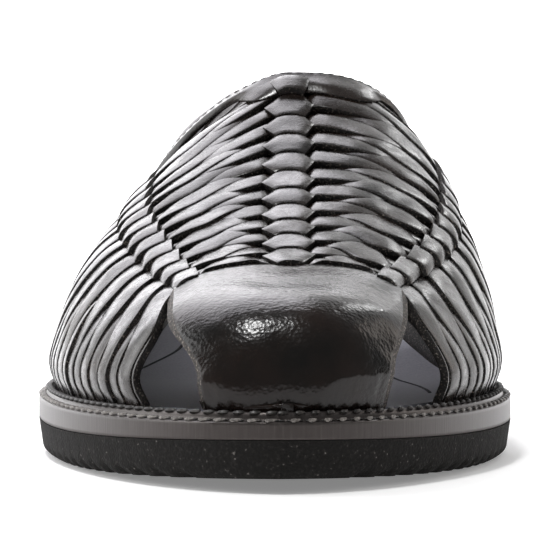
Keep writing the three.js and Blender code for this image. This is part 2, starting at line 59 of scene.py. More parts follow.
# Sizes of the shoe in millimetres, as it was built. `back` is the distance behind the sole's tip.
LENGTH = (cad_high.y - cad_low.y) / MM
MIDDLE_X = 3.4
TOE_SPRING, SPRING_END, TOE_TRIM = 3.2, 85, 1.4
HEEL_RISE, RISE_START, RISE_END, HEEL_BREAST = 10, 120, 206, 212
OUTSOLE, MIDSOLE, WELT, GAP, INSOLE = 8.4, 3, 2, 0.3, 3
SOLE_TOP = OUTSOLE + GAP
SEAT = OUTSOLE + MIDSOLE + 2 * GAP
WELT_TOP = SEAT + WELT
RIPPLE_PITCH, RIPPLE_DEPTH, RIPPLE_START = 6, 1.1, 8
SIDE_TAPER = 1.2
LEDGE, FEATHER, TUCK, TUCK_HEIGHT = 2.6, 16, 2.6, 8
BACK_LEAN, LEAN_HEIGHT = 6, 60
WALL = 3.4
THROAT, THROAT_END, THROAT_SHARE = 146, 170, 0.55
COLLAR_WIDTH = 8
COUNTER_FROM, HEEL_END = 13.35, 20
FIRST_EDGE = -0.59
STRAP_THICK = 2
STRAP_FOOT, STRAP_TOP = (20.5, 23.5), (27.5, 27)
STRAP_FLARE = (24, 40)


def table(names, *rows):
    """A short table with named columns."""
    return dict(zip(names.split(), np.array(rows, float).T))


SOLE_ROWS = table(
    "back lateral medial",
    (105, 59.4, 52.6), (120, 58.6, 50.6), (150, 53, 43), (180, 46, 36.5),
    (210, 40.5, 35), (240, 37.5, 36), (258, 36.5, 36.5))
TOE_ROUND = table("reach power", (105, 1.8), (97, 1.65))
HEEL_REACH, HEEL_POWER = 42, 2.2
TIP_OFFSET, TIP_FADES = -2, 90
LAST_ROWS = table(
    "back ridge lateral medial",
    (5, 19, 2.6, 2.6), (7, 26.5, 2.6, 2.6), (11, 34, 2.6, 2.6), (17, 39.2, 2.6, 2.6),
    (27, 42.6, 2.6, 2.6), (40, 44.7, 2.5, 2.55), (60, 48.7, 2.5, 2.55), (75, 53.7, 2.4, 2.6),
    (95, 61.7, 2.25, 2.7), (115, 71, 2.05, 2.9), (135, 81.5, 1.8, 3.1), (146, 89, 1.4, 2.5),
    (165, 103, 1.4, 2.1), (190, 122, 1.9, 2.2), (225, 138, 2.3, 2.3), (298, 140, 2.3, 2.3))
COLLAR_ROWS = table(
    "back lateral medial",
    (146, 89, 89), (150, 83.5, 84.5), (157, 73, 80), (168, 64, 72), (182, 60, 65),
    (205, 56, 61), (235, 58, 64), (262, 66, 74), (276, 72, 80), (286, 77.5, 83),
    (295, 83.5, 83.5), (298, 83.5, 83.5))
REAR = LENGTH - LEDGE
STRIP_ROWS = table(
    "strip middle lateral_side lateral_round lateral_foot lateral_bend"
    " medial_side medial_round medial_foot medial_bend",
    (-1, 49.5, 46.6, 0.273, 22, 11.5, 48.6, 0.301, 37, 7),
    (0, 57.5, 53.6, 0.288, 32, 8.5, 56.8, 0.327, 49.5, 7),
    (2, 74, 68.5, 0.325, 54, 5, 75.5, 0.403, 73, 6.5),
    (5, 98.5, 90.3, 0.39, 90, 1.5, 100.5, 0.485, 103, 5),
    (8, 124, 111.2, 0.444, 129, 0, 120.5, 0.535, 134, 3),
    (10, 140.5, 126, 0.468, 156, 0, 138, 0.58, 157, 2),
    (13, 165, 160, 0.53, 197, 0, 166, 0.6, 194, 0),
    (16, 215, 220, 0.53, 237, 0, 220, 0.56, 236, 0),
    (18, 256, 262, 0.5, 268, 0, 262, 0.5, 268, 0),
    (20, REAR, REAR, 0.5, REAR, 0, REAR, 0.5, REAR, 0))


def column(rows, at, name):
    """Smooth curve without overshoot through one column of a table."""
    x, y = rows[at], rows[name]
    step = np.diff(x)
    slope = np.diff(y) / step
    before, after = slope[:-1], slope[1:]
    early, late = 2 * step[1:] + step[:-1], step[1:] + 2 * step[:-1]
    turns = before * after <= 0
    inner = (early + late) / (early / np.where(turns, 1, before) + late / np.where(turns, 1, after))
    tangent = np.concatenate([slope[:1], np.where(turns, 0, inner), slope[-1:]])

    def value(v):
        v = np.clip(v, x[0], x[-1])
        i = np.clip(np.searchsorted(x, v) - 1, 0, len(x) - 2)
        t = (v - x[i]) / step[i]
        near = y[i] * (1 + 2 * t) + tangent[i] * step[i] * t
        far = y[i + 1] * (3 - 2 * t) + tangent[i + 1] * step[i] * (t - 1)
        return near * (1 - t) ** 2 + far * t * t

    return value


def both_sides(rows, at, name="{}"):
    """The same for the outer and inner side of the foot, chosen by the sign of `side`."""
    lateral = column(rows, at, name.format("lateral"))
    medial = column(rows, at, name.format("medial"))
    return lambda v, side: np.where(side < 0, lateral(v), medial(v))


sole_width = both_sides(SOLE_ROWS, "back")
last_ridge = column(LAST_ROWS, "back", "ridge")
last_square = both_sides(LAST_ROWS, "back")
collar_height = both_sides(COLLAR_ROWS, "back")
strip_middle = column(STRIP_ROWS, "strip", "middle")
strip_side = both_sides(STRIP_ROWS, "strip", "{}_side")
strip_round = both_sides(STRIP_ROWS, "strip", "{}_round")
strip_foot = both_sides(STRIP_ROWS, "strip", "{}_foot")
strip_bend = both_sides(STRIP_ROWS, "strip", "{}_bend")


def smooth(v, low, high):
    """Soft step from 0 at `low` to 1 at `high`."""
    t = np.clip((v - low) / (high - low), 0, 1)
    return t * t * (3 - 2 * t)


def eased(t):
    """0 to 1 with slow ends, so that points lie closer at tip and heel."""
    return (1 - np.cos(np.pi * t)) / 2


def turning(low, high, past):
    """Values between two limits at which `past` turns true, for arrays of limits."""
    low, high = np.array(low, float), np.array(high, float)
    for _ in range(40):
        middle = (low + high) / 2
        late = past(middle)
        low, high = np.where(late, low, middle), np.where(late, middle, high)
    return high


def spring(back):
    """Share of the toe spring, 1 at the tip."""
    return np.clip(1 - back / SPRING_END, 0, 1) ** 2


def floor_line(back):
    """Height of the outsole's underside: toe spring, arch and the rise on to the heel lift."""
    return TOE_SPRING * spring(back) + HEEL_RISE * smooth(back, RISE_START, RISE_END)


def top_line(back):
    """The same line for the top of the sole, which springs less."""
    return floor_line(back) - TOE_TRIM * spring(back)


def tip_shift(back):
    """How far the pointed tip lies to the outer side."""
    return TIP_OFFSET * np.clip(1 - back / TIP_FADES, 0, 1) ** 2


def half_width(back, side, inset):
    """Half width of the sole's outline, drawn in by `inset`."""
    def rounded(t, power):
        return (1 - (1 - np.clip(t, 0, 1)) ** power) ** (1 / power)

    row = np.where(side < 0, 0, 1)
    reach, power = TOE_ROUND["reach"][row], TOE_ROUND["power"][row]
    front = rounded((back - inset) / (reach - inset), power)
    rear = rounded((LENGTH - inset - back) / (HEEL_REACH - inset), HEEL_POWER)
    return (sole_width(back, side) - inset) * front * rear


def in_frame(x, back, z):
    """Metres in the shoe's frame from millimetres beside the vamp's middle, behind the tip and up."""
    return np.stack(np.broadcast_arrays(x + MIDDLE_X, back - LENGTH / 2, z), -1) * MM


def last_point(back, around, side):
    """Point on the last: `around` is 0 on the ridge, and 1 at the feather edge of either side."""
    turn = np.clip(around, 0, 1)
    angle = turn * np.pi / 2
    power = 2 / last_square(back, side)
    foot = FEATHER + top_line(back)
    up = (last_ridge(back) - foot) * np.maximum(np.cos(angle), 0) ** power
    width = half_width(back, side, LEDGE)
    run = 0.4
    taper = (half_width(back + run, side, LEDGE) - half_width(back - run, side, LEDGE)) / (2 * run)
    inward = 1 / np.hypot(1, taper)
    tuck = TUCK * np.clip(1 - up / TUCK_HEIGHT, 0, 1) ** 2
    out = width * np.sin(angle) ** power - np.minimum(tuck * inward, width / 3) * turn
    lean = BACK_LEAN * np.minimum(up / LEAN_HEIGHT, 1.2) ** 2 * smooth(back, RISE_END, LENGTH)
    x = tip_shift(back) * turn + np.sign(side) * out
    return in_frame(x, back - lean + tuck * inward * taper, foot + up)


def on_last(back, around, side, level, drop=0.0):
    """The same point moved out from the last by `level`, and down by `drop` below the feather edge."""
    back, around, side = np.broadcast_arrays(*(np.asarray(v, float) for v in (back, around, side)))
    turn, run = 0.012, 0.6
    limit = LENGTH - LEDGE - run - 0.05
    at = np.minimum(back, limit)
    over = around - turn
    behind = last_point(at, np.abs(over), np.where(over < 0, -side, side))
    across = (last_point(at, np.minimum(around + turn, 1), side) - behind) * np.sign(side)[..., None]
    along = last_point(at + run, around, side) - last_point(at - run, around, side)
    normal = np.cross(across, along)
    normal[..., 0] = np.where(back > limit, 0, normal[..., 0])
    normal /= np.linalg.norm(normal, axis=-1, keepdims=True)
    point = last_point(back, around, side) + normal * (np.asarray(level) * MM)[..., None]
    point[..., 2] -= np.asarray(drop) * MM
    return point


def strip_place(s, across, side):
    """Place of strip number `s`: `across` is 0 on the vamp's middle, 0.5 on the links, 1 at the foot."""
    across = np.clip(across, 0, 1)
    middle = (1 - across) * (1 - 2 * across)
    links = 4 * across * (1 - across)
    foot = across * (2 * across - 1)
    below = np.clip(2 * across - 1, 0, 1)
    bend = strip_bend(s, side) * (4 * below * (1 - below)) ** 2
    back = strip_middle(s) * middle + strip_side(s, side) * links + strip_foot(s, side) * foot - bend
    return back, strip_round(s, side) * links + foot


FOOT_RUN = 0.04


def on_strip(s, across, side, level):
    """Point of the weave; past 1 it runs straight down behind the welt's bead."""
    drop = (FEATHER - SEAT) * np.clip((across - 1) / FOOT_RUN, 0, 1)
    return on_last(*strip_place(s, across, side), side, level, drop)


def edge_height(back, side, drop):
    """Height of the collar's edge, moved down by `drop`, and by less at the throat."""
    share = THROAT_SHARE + (1 - THROAT_SHARE) * smooth(back, THROAT, THROAT_END)
    return collar_height(back, side) - drop * share


def below_edge(back, around, side, drop):
    """Whether a point of the last lies below the collar's edge."""
    height = last_point(back, around, side)[..., 2] / MM
    return height <= edge_height(back, side, drop) + 0.002


def collar_cut(s, side, drop):
    """How far along strip `s` the collar's edge cuts it off."""
    s = np.asarray(s, float)
    return turning(np.zeros_like(s), np.ones_like(s),
                   lambda across: below_edge(*strip_place(s, across, side), side, drop))


def linear(hex_colour):
    """Linear colour from an sRGB hex value."""
    parts = [int(hex_colour[i:i + 2], 16) / 255 for i in (1, 3, 5)]
    return [c / 12.92 if c <= 0.04045 else ((c + 0.055) / 1.055) ** 2.4 for c in parts] + [1]


def add(tree, kind, inputs=None, **settings):
    """A node with its settings; an input is a value, or the output socket that feeds it."""
    node = tree.nodes.new(kind)
    for name, value in settings.items():
        setattr(node, name, value)
    for name, value in (inputs or {}).items():
        if isinstance(value, bpy.types.NodeSocket):
            tree.links.new(value, node.inputs[name])
        else:
            node.inputs[name].default_value = value
    return node


def material(name):
    """A new material with its tree, shader and Object coordinates."""
    made = bpy.data.materials.new(name)
    made.use_nodes = True
    tree = made.node_tree
    shader = tree.nodes["Principled BSDF"]
    place = add(tree, "ShaderNodeTexCoord").outputs["Object"]
    return made, tree, shader, place


def ramp(tree, source, *stops):
    """Colours or greys along a value."""
    node = add(tree, "ShaderNodeValToRGB", {"Fac": source})
    while len(node.color_ramp.elements) < len(stops):
        node.color_ramp.elements.new(0.5)
    for element, (at, colour) in zip(node.color_ramp.elements, stops):
        element.position = at
        element.color = linear(colour)
    return node.outputs["Color"]


def noise(tree, place, size, detail):
    """Noise with features about `size` millimetres wide."""
    node = add(tree, "ShaderNodeTexNoise", {"Vector": place, "Scale": 1 / (size * MM), "Detail": detail})
    return node.outputs["Fac"]


def cells(tree, place, size):
    """Distance from the middles of cells about `size` millimetres wide."""
    node = add(tree, "ShaderNodeTexVoronoi", {"Vector": place, "Scale": 1 / (size * MM)})
    return node.outputs["Distance"]


def raised(tree, height, depth, strength, under=None):
    """Normal of a surface raised by up to `depth` millimetres, on top of the normal `under`."""
    inputs = {"Height": height, "Distance": depth * MM, "Strength": strength}
    if under is not None:
        inputs["Normal"] = under
    return add(tree, "ShaderNodeBump", inputs).outputs["Normal"]


def set_inputs(shader, **values):
    """Plain values of a shader's inputs, with underscores for spaces."""
    for name, value in values.items():
        shader.inputs[name.replace("_", " ")].default_value = value


def polished_leather(name, dark, warm, pebble, depth, wave, roughness, coat, gloss):
    """Aniline calf, polished: a black film over a fine pebble, so it mirrors lamps softly."""
    made, tree, shader, place = material(name)
    colour = ramp(tree, noise(tree, place, 14, 4), (0.35, dark), (0.7, warm))
    tree.links.new(colour, shader.inputs["Base Color"])
    creases = noise(tree, place, 2.4 * pebble, 5)
    pulled = raised(tree, noise(tree, place, 11, 0), wave, 1)
    grain = raised(tree, cells(tree, place, pebble), depth, 0.5, pulled)
    skin = raised(tree, creases, 2 * depth, 0.6, grain)
    tree.links.new(skin, shader.inputs["Normal"])
    worn = add(tree, "ShaderNodeMapRange", {
        "Value": creases, "From Min": 0.3, "From Max": 0.7,
        "To Min": roughness * 0.8, "To Max": roughness * 1.3})
    tree.links.new(worn.outputs["Result"], shader.inputs["Roughness"])
    set_inputs(shader, IOR=1.5, Specular_IOR_Level=gloss)
    set_inputs(shader, Coat_Weight=coat, Coat_Roughness=0.18, Coat_IOR=1.45)
    return made


def cut_edge(name, dark, fibres, specks):
    """Raw edge of dyed hide: open fibres, dull and dark, with pale specks of dust and broken fibre."""
    made, tree, shader, place = material(name)
    fibre = noise(tree, place, 0.5, 6)
    colour = ramp(tree, fibre, (0.42, dark), (0.58, fibres), (0.72, specks))
    tree.links.new(colour, shader.inputs["Base Color"])
    tree.links.new(raised(tree, fibre, 0.4, 0.8), shader.inputs["Normal"])
    set_inputs(shader, Roughness=0.6, IOR=1.45)
    return made


def welt_edge():
    """Sole leather sanded, stained and waxed: satin grey-brown with fine upright sanding marks."""
    made, tree, shader, place = material("sanded_sole_leather")
    wide, long = 0.5, 9
    scale = (1 / (wide * MM), 1 / (wide * MM), 1 / (long * MM))
    marks = add(tree, "ShaderNodeMapping", {"Vector": place, "Scale": scale}).outputs["Vector"]
    lines = add(tree, "ShaderNodeTexNoise", {"Vector": marks, "Scale": 1, "Detail": 4}).outputs["Fac"]
    colour = ramp(tree, lines, (0.3, "#262322"), (0.6, "#2f2c2b"), (0.8, "#3d3a38"))
    tree.links.new(colour, shader.inputs["Base Color"])
    tree.links.new(raised(tree, lines, 0.08, 0.5), shader.inputs["Normal"])
    set_inputs(shader, Roughness=0.32, IOR=1.5, Specular_Tint=linear("#fff1ec"))
    return made


def cellular_rubber():
    """Moulded microcellular rubber: dull black, open pores and fine pale specks of moulding dust."""
    made, tree, shader, place = material("microcellular_rubber")
    dust = noise(tree, place, 0.9, 3)
    colour = ramp(tree, dust, (0.52, "#1c1b1a"), (0.68, "#292726"), (0.76, "#6e6a67"))
    tree.links.new(colour, shader.inputs["Base Color"])
    pores = raised(tree, cells(tree, place, 0.7), 0.25, 0.7)
    tree.links.new(pores, shader.inputs["Normal"])
    set_inputs(shader, Roughness=0.85, IOR=1.5, Specular_IOR_Level=0.15)
    return made


def napped_lining(name, dark, pale):
    """Brushed lining cloth: blue-grey, dead matt, with a short nap."""
    made, tree, shader, place = material(name)
    nap = noise(tree, place, 0.6, 5)
    colour = ramp(tree, nap, (0.3, dark), (0.7, pale))
    tree.links.new(colour, shader.inputs["Base Color"])
    tree.links.new(raised(tree, nap, 0.15, 0.5), shader.inputs["Normal"])
    set_inputs(shader, Roughness=0.85, IOR=1.45, Sheen_Weight=0.25, Sheen_Roughness=0.5)
    return made


def waxed_thread(name, pale, dark, roughness=0.45):
    """Waxed linen thread: twisted plies that catch a little light on top."""
    made, tree, shader, place = material(name)
    colour = ramp(tree, noise(tree, place, 0.6, 3), (0.35, dark), (0.7, pale))
    tree.links.new(colour, shader.inputs["Base Color"])
    set_inputs(shader, Roughness=roughness, IOR=1.5)
    return made


LEATHER = polished_leather("polished_strip_leather", "#0c0908", "#241b16", pebble=0.7, depth=0.04,
                           wave=1.8, roughness=0.25, coat=0.25, gloss=0.4)
STRAP_LEATHER = polished_leather("polished_pebbled_calf", "#090807", "#1e1511", pebble=0.9, depth=0.1,
                                 wave=0.6, roughness=0.2, coat=0.02, gloss=0.3)
RAW_EDGE = cut_edge("raw_hide_edge", "#0c0a09", "#221d1a", "#857d74")
STRAP_EDGE = cut_edge("raw_calf_edge", "#1d1916", "#453e38", "#a39a90")
EDGE_LEATHER = welt_edge()
RUBBER = cellular_rubber()
LINING = napped_lining("napped_sock_lining", "#6c6c75", "#83838d")
# The insole's blue-grey lining cloth, painted darker: the shade on the quarter's inner wall is painted
# into its colour.
SHADED_WALL_LINING = napped_lining("napped_quarter_lining_painted_shade", "#36363c", "#45454c")
BLACK_THREAD = waxed_thread("waxed_black_thread", "#3a3633", "#0d0c0b")
# Black waxed thread painted pale grey: the highlights on the welt's outer stitches are painted into its
# colour.
PAINTED_HIGHLIGHT_THREAD = waxed_thread("black_thread_painted_highlight", "#8f8a85", "#4b4744")
# Near-black dead matt thread for the insole's line, which is painted shade where insole and wall meet.
INSOLE_SHADE_THREAD = waxed_thread("painted_shade_insole_line", "#141318", "#08080a", 0.95)


def laid(name, across, along, place):
    """A flat grid, subdivided and then laid in its place: `place` takes both grid directions, -1 to 1."""
    bpy.ops.object.select_all(action="DESELECT")
    bpy.ops.mesh.primitive_grid_add(x_subdivisions=across, y_subdivisions=along, size=2)
    piece = bpy.context.object
    piece.name = piece.data.name = name
    flat = np.empty(len(piece.data.vertices) * 3)
    piece.data.vertices.foreach_get("co", flat)
    u, v = flat.reshape(-1, 3)[:, :2].T
    piece.data.vertices.foreach_set("co", place(u, v).ravel())
    piece.data.update()
    return piece


def joined(name, pieces):
    """One object from several, with points that meet merged."""
    bpy.ops.object.select_all(action="DESELECT")
    for piece in pieces:
        piece.select_set(True)
    bpy.context.view_layer.objects.active = pieces[0]
    if len(pieces) > 1:
        bpy.ops.object.join()
    whole = bpy.context.object
    whole.name = whole.data.name = name
    bpy.ops.object.mode_set(mode="EDIT")
    bpy.ops.mesh.select_all(action="SELECT")
    bpy.ops.mesh.remove_doubles(threshold=0.01 * MM)
    bpy.ops.object.mode_set(mode="OBJECT")
    return whole


def modify(piece, kind, **settings):
    """A modifier, applied."""
    modifier = piece.modifiers.new(kind.lower(), kind)
    for name, value in settings.items():
        setattr(modifier, name, value)
    bpy.context.view_layer.objects.active = piece
    bpy.ops.object.modifier_apply(modifier=modifier.name)


def thicken(piece, thick, edge, *materials):
    """A sheet made thick inwards, with rounded edges: materials of its face, rim and inner side."""
    for made in materials:
        piece.data.materials.append(made)
    modify(piece, "SOLIDIFY", thickness=thick * MM, offset=-1, material_offset_rim=1, material_offset=2)
    modify(piece, "BEVEL", width=edge * MM, segments=2, limit_method="ANGLE", angle_limit=math.radians(50))
    return piece


def dress(piece, slot, *materials, replaces=()):
    """Smooth shading, materials, and the piece's place in the frame."""
    for made in materials:
        piece.data.materials.append(made)
    bpy.ops.object.select_all(action="DESELECT")
    piece.select_set(True)
    bpy.context.view_layer.objects.active = piece
    bpy.ops.object.shade_smooth_by_angle(angle=math.radians(42))
    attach(piece, "root")
    if replaces:
        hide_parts(*replaces)
    return piece


def sewn(name, path, pitch, size, slant, slot, made):
    """A row of stitches along a path: round-ended dashes of a given length, width and height."""
    fine = np.linspace(0, 1, 6000)
    walked = np.linalg.norm(np.diff(path(fine, 0), axis=0), axis=1).cumsum()
    t = np.interp(np.arange(pitch / 2, walked[-1] / MM, pitch) * MM, walked, fine[1:])
    step = 1e-4

    def unit(vectors):
        return vectors / np.linalg.norm(vectors, axis=1, keepdims=True)

    ahead, up = unit(path(t + step, 0) - path(t - step, 0)), unit(path(t, 1) - path(t, 0))
    beside = np.cross(up, ahead)
    turn = math.radians(slant)
    ahead, beside = (ahead * math.cos(turn) + beside * math.sin(turn),
                     beside * math.cos(turn) - ahead * math.sin(turn))
    stations, girth = np.array([-1, -0.75, 0, 0.75, 1]), np.array([0.35, 0.85, 1, 0.85, 0.35])
    sides, rings = 6, len(stations)
    angle = np.arange(sides) * np.pi / 3
    long, wide, high = (v / 2 * MM for v in size)
    offsets = np.array([(a * long, math.cos(b) * g * wide, math.sin(b) * g * high)
                        for a, g in zip(stations, girth) for b in angle])
    points = path(t, 0)[:, None] + sum(
        offsets[None, :, i, None] * axis[:, None] for i, axis in enumerate((ahead, beside, up)))
    count = sides * rings
    quads = [(r + j, r + (j + 1) % sides, r + sides + (j + 1) % sides, r + sides + j)
             for r in range(0, count - sides, sides) for j in range(sides)]
    caps = [tuple(range(sides - 1, -1, -1)), tuple(range(count - sides, count))]
    faces = [tuple(count * n + i for i in face) for n in range(len(t)) for face in quads + caps]
    mesh = bpy.data.meshes.new(name)
    mesh.from_pydata(points.reshape(-1, 3).tolist(), [], faces)
    row = bpy.data.objects.new(name, mesh)
    bpy.context.scene.collection.objects.link(row)
    return dress(row, slot, made)


# Weave. Strips of the vamp run round from foot to foot; link strips pass over and under them.
STRIP_SHIFT = -0.25
STRIP_THICK = 1.9
CROWN = 0.18
HEX_REACH, HEX_AT = 6.3, 0.088
VAMP_ROWS = table(
    "across half level shift",
    (0, 0.25, -1.7, 0.02), (0.05, 0.3, -1, 0.02), (0.08, 0.33, 0.2, 0.01), (0.15, 0.38, 0.4, -0.01),
    (0.21, 0.37, 0.25, 0), (0.27, 0.33, 0, 0.04), (0.34, 0.26, -0.3, 0.14), (0.39, 0.2, -0.3, 0.22),
    (0.44, 0.15, -0.5, 0.22), (0.5, 0.16, -1.6, 0.1), (0.57, 0.43, -0.5, 0), (0.65, 0.46, 0.1, 0),
    (0.75, 0.4, 0.1, 0), (0.87, 0.3, 0.1, 0), (0.95, 0.28, 0.7, 0), (1, 0.27, 0.9, 0))
LINK_ROWS = table(
    "across half level shift",
    (0, 0.3, -1.9, 0), (0.08, 0.34, -1.8, -0.25), (0.13, 0.4, -0.8, -0.48), (0.17, 0.42, 0, -0.55),
    (0.21, 0.45, 0.25, -0.62), (0.26, 0.48, 0.3, -0.82), (0.31, 0.5, 0.3, -1.06), (0.35, 0.46, 0.3, -1.17),
    (0.39, 0.36, 0.2, -1.28), (0.43, 0.25, 0, -1.4), (0.47, 0.18, -1.2, -1.42), (0.52, 0.16, -1.7, -1.45),
    (0.6, 0.16, -1.8, -1.6), (0.68, 0.18, -1.4, -1.75), (0.76, 0.21, -0.4, -1.75), (0.86, 0.25, 0, -1.75),
    (0.95, 0.26, 0.6, -1.75), (1, 0.26, 0.85, -1.75))
TUCKED = 2.5
TILT, TILT_VARIES = 0.18, 0.1
WANDER_VARIES, LIFT_VARIES = 0.02, 0.08
FRONT_SLOT, SLOT_OPENS, SLOT_CLOSES = 0.4, (0.07, 0.13), (0.4, 0.46)
LAST_TIP = 10


def hex_tip(number, side):
    """How far along strip `number` the points of the hexagons beside it lie."""
    number = np.minimum(np.asarray(number, float), LAST_TIP)

    def reached(across):
        point = last_point(*strip_place(number, across, side), side)
        return np.abs(point[..., 0] / MM - MIDDLE_X) >= HEX_REACH

    return turning(np.zeros_like(number), np.full_like(number, 0.4), reached)


def strip(name, rows, number, steps=64):
    """Both halves of one strip, from under the collar or the vamp's middle down to the welt."""
    half, level = column(rows, "across", "half"), column(rows, "across", "level")
    shift = column(rows, "across", "shift")
    wander = RNG.normal(0, WANDER_VARIES, 2)
    lift = RNG.normal(0, LIFT_VARIES, 2)
    tilt = RNG.normal(TILT, TILT_VARIES, 2)
    halves = []
    for i, side in enumerate((-1.0, 1.0)):
        tip = float(hex_tip(number, side))

        def column_at(across):
            """The tables are read from the hexagons' points to the links and on to the foot."""
            return np.interp(across, [0, tip, 0.5, 2], [0, HEX_AT, 0.5, 2])

        def run(across, v):
            at = column_at(across)
            s = number + shift(at) + wander[i] * smooth(at, 0, 0.2) + v * half(at)
            slot = FRONT_SLOT * (smooth(at, *SLOT_OPENS) - smooth(at, *SLOT_CLOSES))
            return np.maximum(s, FIRST_EDGE + slot + 0.06 * v)

        def shown(across, v):
            return below_edge(*strip_place(run(across, v), across, side), side, TUCKED)

        def place(u, v):
            lines = np.unique(v)
            starts = turning(np.zeros_like(lines), np.ones_like(lines), lambda a: shown(a, lines))
            starts = np.where(starts < 1e-6, 0, starts)
            start = starts[np.searchsorted(lines, v)]
            t = (u + 1) / 2 if side > 0 else (1 - u) / 2
            across = start + (1 + FOOT_RUN - start) * t
            at = column_at(across)
            up = level(at) + lift[i] * smooth(at, 0.02, 0.2) - CROWN * v * v - tilt[i] * v
            return on_strip(run(across, v), across, side, up)

        halves.append(laid(f"{name}_{i}", steps, 6, place))
    return halves


HEXAGONS = range(0, 11)
LINKS = range(0, 13)
HEX_ROWS = table("along wide", (-1, 0.5), (0, 1), (1, 0.5))
HEX_HALF, HEX_SHIFT, HEX_DROOP, HEX_LAST, FIRST_GAP = 0.53, 0.35, 0.1, 10.5, 0.1
HEX_TURN, HEX_TURN_VARIES = 0.1, 0.03
HEX_EDGE, HEX_LEAN, HEX_BOW = 0.5, 0.2, 0.12
OVER_COLLAR, COLLAR_LEAN, TOP_NARROWS = 1.1, 0.3, 0.1
LINK_HALF, LINK_SHIFT, LINK_TURN_VARIES = 0.53, 0.2, 0.02
LINK_AT, LINK_REACH, LINK_SKEW = 0.505, 0.055, 0.012
LINK_SINK, LINK_EDGE, LINK_FOOT_EDGE, LINK_LEAN, LINK_BOW = 0.25, 0.6, 0.4, 0.22, 0.25
PLATE_LEVEL = 0.9


def hexagon(number):
    """Where a link strip shows on top at the vamp's middle; it lies almost level from side to side."""
    turned = RNG.normal(HEX_TURN, HEX_TURN_VARIES)
    last = number == HEXAGONS[-1]
    heelward = min(HEX_HALF, HEX_LAST - number - HEX_SHIFT)

    def place(u, v):
        wide = np.interp(v, HEX_ROWS["along"], HEX_ROWS["wide"])
        wide = np.where(last & (v > 0), 1 - TOP_NARROWS * v, wide)
        side = np.where(u < 0, -1.0, 1.0)
        toeward = HEX_SHIFT - FIRST_EDGE - FIRST_GAP if number == 0 else HEX_HALF
        row = number + HEX_SHIFT + np.where(v < 0, toeward, heelward) * v + turned * u * (1 - np.abs(v))
        across = np.abs(u) * wide * hex_tip(row, side)

        def height(s, across):
            return last_point(*strip_place(s, across, side), side)[..., 2]

        middle = height(row - HEX_DROOP * u * u, 0 * u)
        s = turning(row - 1, row + 3, lambda at: height(at, across) >= middle)
        level = PLATE_LEVEL - HEX_EDGE * np.abs(u) ** 3 - HEX_LEAN * v - HEX_BOW * v * v
        level = level + (OVER_COLLAR - COLLAR_LEAN * v) * last
        return on_strip(s, across, side, level)

    return laid(f"hexagon_{number}", 8, 8, place)


def side_link(number, side):
    """Where a link strip shows on top at the side."""
    turned = RNG.normal(0, LINK_TURN_VARIES)

    def place(u, v):
        t = u * side
        across = LINK_AT + LINK_REACH * t - LINK_SKEW * v
        s = number - LINK_SHIFT + LINK_HALF * v + turned * u
        edge = (LINK_EDGE + LINK_FOOT_EDGE * t) * np.abs(t) ** 3
        level = PLATE_LEVEL - LINK_SINK - edge - LINK_LEAN * v - LINK_BOW * v * v
        return on_strip(s, across, side, level)

    return laid(f"link_{number}", 8, 8, place)


def weave():
    """All strips in one piece."""
    parts = []
    for k in range(0, 14):
        parts += strip(f"vamp_strip_{k}", VAMP_ROWS, k + STRIP_SHIFT)
    for k in range(1, 15):
        parts += strip(f"link_strip_{k}", LINK_ROWS, k)
    parts += [hexagon(k) for k in HEXAGONS]
    parts += [side_link(k, side) for k in LINKS for side in (-1.0, 1.0)]
    whole = joined("woven_strips", parts)
    thicken(whole, STRIP_THICK, 0.4, LEATHER, RAW_EDGE, RAW_EDGE)
    return dress(whole, "upper_leather", replaces=["upper"])


VAMP_LINING, QUARTER_LINING, LINING_RISE, LINING_CUT = 2.3, 1.2, 1.1, 0.6
LINING_FROM, VAMP_END, RISE_STRIPS = -0.15, 13, (12.2, 13.2)


def lining():
    """Inner wall behind the strips, open at the collar and underneath, and plain round the heel."""
    def half(side, first, end, rows):
        def place(u, v):
            s = first + (end - first) * (v + 1) / 2
            lines = np.unique(s)
            cuts = collar_cut(lines, side, LINING_CUT)
            cut = np.where(cuts < 1e-6, 0, cuts)[np.searchsorted(lines, s)]
            t = (u + 1) / 2 if side > 0 else (1 - u) / 2
            across = cut + (1 + FOOT_RUN - cut) * t
            level = -VAMP_LINING + LINING_RISE * smooth(s, *RISE_STRIPS)
            return on_strip(s, across, side, level)

        return laid("half", 30, rows, place)

    vamp = joined("vamp_lining", [half(side, LINING_FROM, VAMP_END, 60) for side in (-1.0, 1.0)])
    thicken(vamp, WALL - VAMP_LINING, 0.2, RAW_EDGE, RAW_EDGE, RAW_EDGE)
    dress(vamp, "upper_leather")
    quarter = joined("quarter_lining", [half(side, VAMP_END, HEEL_END, 70) for side in (-1.0, 1.0)])
    # Inner face gets the darker lining cloth, with the wall's shade painted in.
    thicken(quarter, WALL - QUARTER_LINING, 0.2, LEATHER, RAW_EDGE, SHADED_WALL_LINING)
    dress(quarter, "upper_leather")


